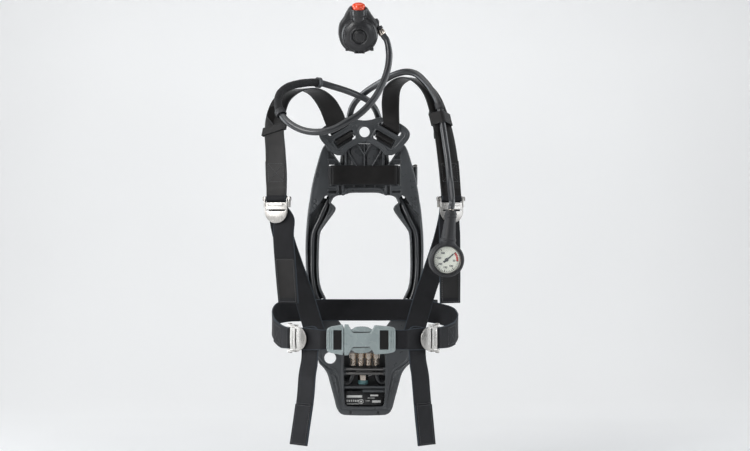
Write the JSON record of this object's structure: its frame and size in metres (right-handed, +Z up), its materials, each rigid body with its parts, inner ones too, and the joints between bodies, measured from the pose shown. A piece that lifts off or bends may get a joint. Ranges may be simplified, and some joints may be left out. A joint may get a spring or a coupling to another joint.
{
  "type": "breathing apparatus",
  "caption": "Self-contained breathing apparatus harness: moulded back frame with webbing, pressure reducer, two hoses, pressure gauge and lung demand valve, without its cylinder.",
  "frame": {"origin": "on the flat underside of the foot, in the middle of the frame, level with the wearer-side face", "axes": "+Z up, +Y to the rear where the cylinder goes, -Y towards the wearer, +X to the wearer's left"},
  "size_m": [0.3928, 0.3935, 0.8472],
  "materials": {
    "frame_plastic": "satin moulded plastic with a fine grain",
    "soft_rubber": "matt rubber",
    "hose_rubber": "satin rubber",
    "webbing": "black woven webbing",
    "nickel": "nickel plated brass",
    "steel": "polished stainless steel",
    "buckle_plastic": "satin grey plastic",
    "valve_plastic": "satin dark grey plastic",
    "signal_red": "orange-red plastic",
    "teal_plastic": "teal plastic cap",
    "label_black": "black plate",
    "dial_face": "pale enamel",
    "needle_black": "black enamel",
    "lens": "clear lens"
  },
  "bodies": {
    "root": {"back_frame": "frame_plastic", "spine_ribs": "frame_plastic", "foot_bumper": "soft_rubber", "hip_supports": "soft_rubber", "frame_screws": "steel", "reducer_body": "nickel", "reducer_cap": "frame_plastic", "mounting_rods": "steel", "rod_collars": "frame_plastic", "hose_fittings": "nickel", "relief_valve": "nickel", "relief_cap": "teal_plastic", "label_plate": "label_black", "connector_stem": "nickel", "connector_seal": "soft_rubber", "cylinder_strap": "webbing", "strap_buckle_frame": "steel", "strap_buckle_pin": "steel", "shoulder_strap_left": "webbing", "shoulder_strap_right": "webbing", "lower_strap_left": "webbing", "lower_strap_right": "webbing", "adjuster_frames": "steel", "adjuster_pins": "steel", "waist_belt": "webbing", "front_belt_left": "webbing", "front_belt_right": "webbing", "belt_tail_left": "webbing", "belt_tail_right": "webbing", "buckle_female": "buckle_plastic", "hose_clip": "frame_plastic", "hose_loops": "soft_rubber", "hose_sleeve": "soft_rubber", "valve_hose": "hose_rubber", "gauge_hose": "hose_rubber", "hose_ferrules": "nickel"},
    "yoke": {"yoke_plate": "frame_plastic", "yoke_guides": "frame_plastic"},
    "handwheel": {"handwheel": "soft_rubber"},
    "strap_lever": {"strap_cam_lever": "frame_plastic"},
    "shoulder_lever_left": {"shoulder_lever_left": "steel"},
    "shoulder_lever_right": {"shoulder_lever_right": "steel"},
    "waist_lever_left": {"waist_lever_left": "steel"},
    "waist_lever_right": {"waist_lever_right": "steel"},
    "buckle_male": {"buckle_male": "buckle_plastic"},
    "prong_upper": {"prong_upper": "buckle_plastic"},
    "prong_lower": {"prong_lower": "buckle_plastic"},
    "demand_valve": {"valve_housing": "valve_plastic", "valve_cover": "valve_plastic", "valve_diaphragm": "soft_rubber", "swivel_nut": "soft_rubber", "plug_seal": "soft_rubber"},
    "purge_button": {"purge_button": "valve_plastic"},
    "reset_button": {"reset_button": "signal_red"},
    "gauge": {"gauge_boot": "soft_rubber", "gauge_case": "nickel", "gauge_dial": "dial_face", "gauge_lens": "lens"},
    "needle": {"gauge_needle": "needle_black"}
  },
  "joints": [
    {"name": "yoke_height", "type": "slide", "parent": "root", "child": "yoke", "axis": [0, 0, 1], "range_m": [-0.018, 0.018], "stiffness_N_per_m": 250, "deforming": ["shoulder_strap_left", "shoulder_strap_right"]},
    {"name": "handwheel_spin", "type": "hinge", "parent": "root", "child": "handwheel", "pos_m": [0, 0.076, 0.102], "axis": [0, 1, 0], "continuous": true},
    {"name": "strap_lever_open", "type": "hinge", "parent": "root", "child": "strap_lever", "pos_m": [0.1058, 0.056, 0.494], "axis": [0, 0, -1], "range_deg": [0, 110]},
    {"name": "shoulder_left_lift", "type": "hinge", "parent": "root", "child": "shoulder_lever_left", "pos_m": [-0.168, -0.182, 0.442], "axis": [-0.9659, 0.2588, 0], "range_deg": [0, 30]},
    {"name": "shoulder_right_lift", "type": "hinge", "parent": "root", "child": "shoulder_lever_right", "pos_m": [0.168, -0.182, 0.442], "axis": [-0.9659, -0.2588, 0], "range_deg": [0, 30]},
    {"name": "waist_left_lift", "type": "hinge", "parent": "root", "child": "waist_lever_left", "pos_m": [-0.14, -0.232, 0.177], "axis": [0, 0, -1], "range_deg": [0, 30]},
    {"name": "waist_right_lift", "type": "hinge", "parent": "root", "child": "waist_lever_right", "pos_m": [0.14, -0.232, 0.177], "axis": [0, 0, 1], "range_deg": [0, 30]},
    {"name": "buckle_release", "type": "slide", "parent": "root", "child": "buckle_male", "axis": [-1, 0, 0], "range_m": [0, 0.035], "deforming": ["front_belt_left"]},
    {"name": "prong_upper_squeeze", "type": "hinge", "parent": "buckle_male", "child": "prong_upper", "pos_m": [-0.042, -0.28, 0.192], "axis": [0, 1, 0], "range_deg": [0, 7]},
    {"name": "prong_lower_squeeze", "type": "hinge", "parent": "buckle_male", "child": "prong_lower", "pos_m": [-0.042, -0.28, 0.162], "axis": [0, 1, 0], "range_deg": [-7, 0]},
    {"name": "valve_swivel", "type": "hinge", "parent": "root", "child": "demand_valve", "pos_m": [0.0369, -0.158, 0.762], "axis": [-0.5602, 0, 0.8283], "continuous": true},
    {"name": "purge_press", "type": "slide", "parent": "demand_valve", "child": "purge_button", "axis": [0, 0.9397, 0.342], "range_m": [0, 0.003], "stiffness_N_per_m": 60},
    {"name": "reset_press", "type": "slide", "parent": "demand_valve", "child": "reset_button", "axis": [0, 0.342, -0.9397], "range_m": [0, 0.004], "stiffness_N_per_m": 60},
    {"name": "gauge_swivel", "type": "hinge", "parent": "root", "child": "gauge", "pos_m": [0.1565, -0.236, 0.3255], "axis": [0.0993, 0, 0.9951], "continuous": true},
    {"name": "needle_sweep", "type": "hinge", "parent": "gauge", "child": "needle", "pos_m": [0.1565, -0.236, 0.3255], "axis": [-0.1385, 0.9903, 0.0138], "range_deg": [0, 280]}
  ],
  "couplings": [
    {"joint": "prong_lower_squeeze", "follows": "prong_upper_squeeze", "ratio": -1}
  ]
}
